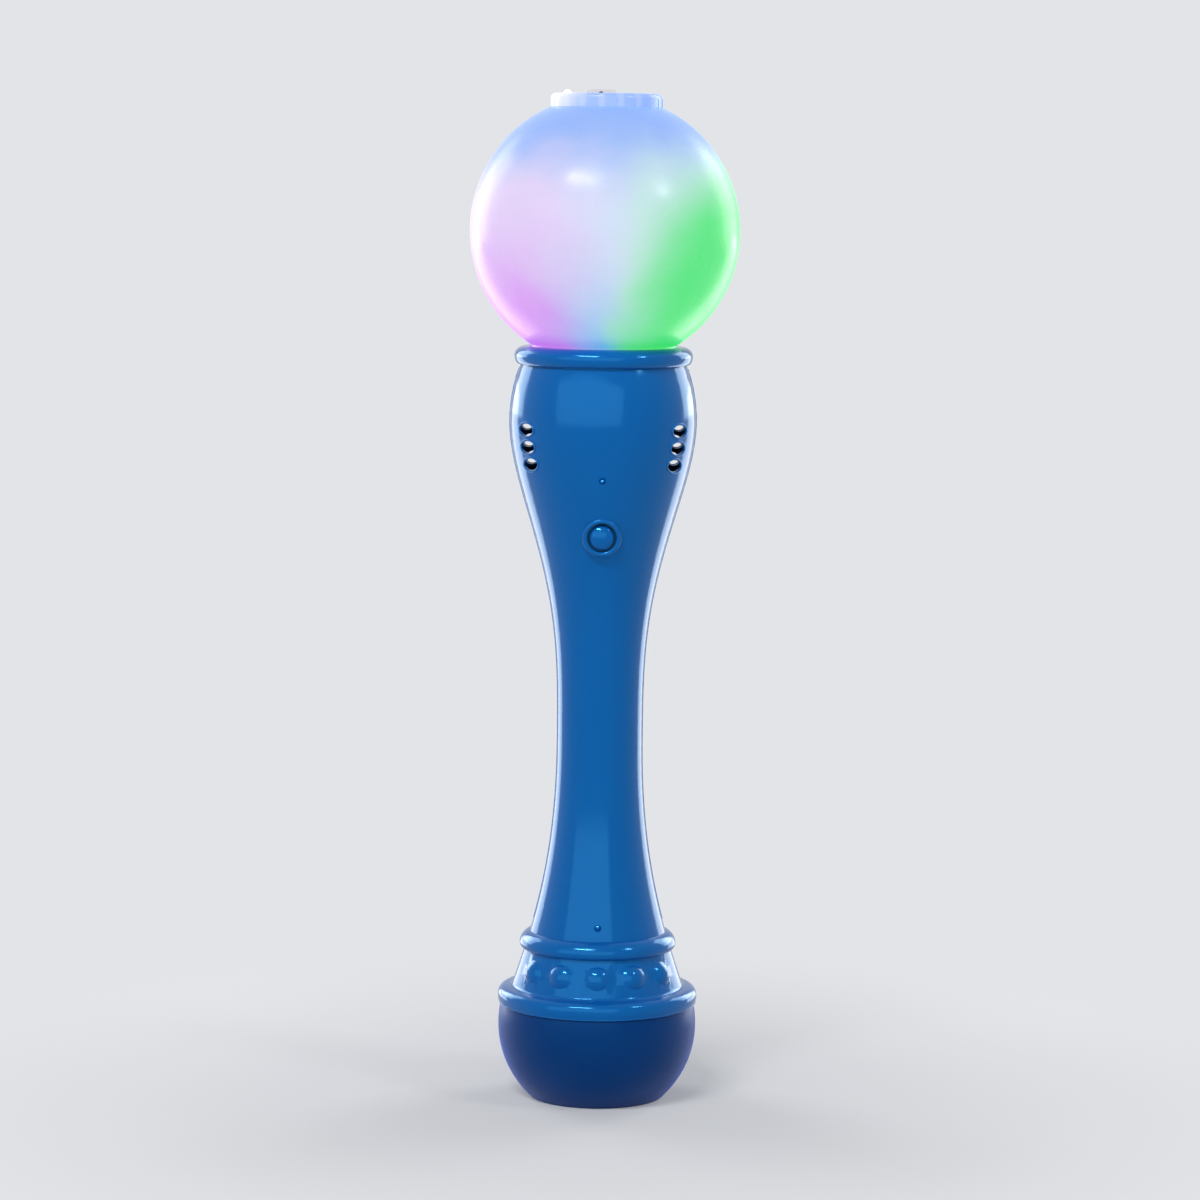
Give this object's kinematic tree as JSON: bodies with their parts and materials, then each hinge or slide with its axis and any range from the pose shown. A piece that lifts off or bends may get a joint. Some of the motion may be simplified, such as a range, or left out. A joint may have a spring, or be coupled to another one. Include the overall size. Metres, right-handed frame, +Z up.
{
  "type": "bubble wand",
  "caption": "Light-up bubble wand: a milky globe and air nozzle on a waisted clamshell handle with a push button, over a ball-shaped screw-on solution tank.",
  "frame": {"origin": "on the table, at the middle of the tank's flat base", "axes": "+Z up the handle towards the nozzle, -Y towards the button, +X to the right seen from the front"},
  "size_m": [0.0908, 0.0908, 0.3424],
  "materials": {
    "shell_blue": "glossy moulded ABS",
    "tank_blue": "satin moulded polypropylene",
    "milk": "milky translucent plastic",
    "cream": "pale plastic",
    "nylon": "natural nylon",
    "dark_plastic": "black plastic",
    "steel": "bright steel",
    "brass": "turned brass",
    "board": "green circuit board",
    "tubing": "clear soft tubing",
    "seal": "soft rubber",
    "cell": "printed metal jacket, left plain",
    "wire": "red insulation",
    "led_violet": "tinted epoxy",
    "led_blue": "tinted epoxy",
    "led_green": "tinted epoxy",
    "led_clear": "clear epoxy"
  },
  "bodies": {
    "handle": {"front_shell": "shell_blue", "rear_shell": "shell_blue", "clamp_ring": "shell_blue", "globe": "milk", "nozzle_ring": "milk", "feed_spout": "cream", "nozzle_led": "led_clear", "push_switch": "dark_plastic", "control_board": "board", "board_screws": "steel", "battery_tray": "nylon", "battery_cells": "cell", "battery_spring": "steel", "battery_contact": "steel", "housing_screws": "steel", "fan_housing": "nylon", "air_duct": "nylon", "motor_can": "steel", "motor_end_cap": "dark_plastic", "gear_pins": "steel", "gear_frame": "nylon", "frame_screws": "steel", "pump_pin": "steel", "pump_housing": "milk", "pump_tube": "tubing", "tube_fittings": "dark_plastic", "suction_tube": "tubing", "delivery_tube": "tubing", "dip_tube": "tubing", "tank_cap": "dark_plastic", "led_board": "board", "violet_led": "led_violet", "blue_led": "led_blue", "green_led": "led_green", "battery_leads": "wire", "motor_leads": "wire", "led_leads": "wire", "nozzle_leads": "wire"},
    "button_unit": {"button": "shell_blue", "switch_plunger": "dark_plastic"},
    "fan_unit": {"motor_shaft": "steel", "impeller": "milk", "motor_pinion": "brass"},
    "first_gear_unit": {"first_gear": "nylon"},
    "second_gear_unit": {"second_gear": "milk"},
    "pump_unit": {"pump_rotor": "nylon", "pump_rollers": "steel"},
    "door_unit": {"battery_door": "shell_blue", "door_screw": "steel"},
    "seal_unit": {"tank_gasket": "seal"},
    "tank_unit": {"tank": "tank_blue"}
  },
  "joints": [
    {"name": "button_press", "type": "slide", "parent": "handle", "child": "button_unit", "axis": [0, 1, 0], "range_m": [0, 0.001], "stiffness_N_per_m": 1200},
    {"name": "fan_spin", "type": "hinge", "parent": "handle", "child": "fan_unit", "pos_m": [0, 0, 0.22], "axis": [0, 0, 1], "continuous": true},
    {"name": "first_gear_spin", "type": "hinge", "parent": "handle", "child": "first_gear_unit", "pos_m": [-0.005, 0.00866, 0.198], "axis": [0, 0, 1], "continuous": true},
    {"name": "second_gear_spin", "type": "hinge", "parent": "handle", "child": "second_gear_unit", "pos_m": [0.005, 0.00866, 0.195], "axis": [0, 0, 1], "continuous": true},
    {"name": "pump_spin", "type": "hinge", "parent": "handle", "child": "pump_unit", "pos_m": [0, 0, 0.19], "axis": [0, 0, 1], "continuous": true},
    {"name": "door_swing", "type": "hinge", "parent": "handle", "child": "door_unit", "pos_m": [0, 0.0229, 0.05845], "axis": [-1, 0, 0], "range_deg": [0, 60]},
    {"name": "seal_drop", "type": "slide", "parent": "handle", "child": "seal_unit", "axis": [0, 0, -1], "range_m": [0, 0.009]},
    {"name": "tank_turn", "type": "hinge", "parent": "seal_unit", "child": "tank_unit", "pos_m": [0, 0, 0.03], "axis": [0, 0, -1], "range_deg": [0, 540]}
  ],
  "couplings": [
    {"joint": "first_gear_spin", "follows": "fan_spin", "ratio": -0.33333},
    {"joint": "second_gear_spin", "follows": "fan_spin", "ratio": 0.11111},
    {"joint": "pump_spin", "follows": "fan_spin", "ratio": -0.037037},
    {"joint": "seal_drop", "follows": "tank_turn", "m_per_rad": 0.00095492}
  ]
}
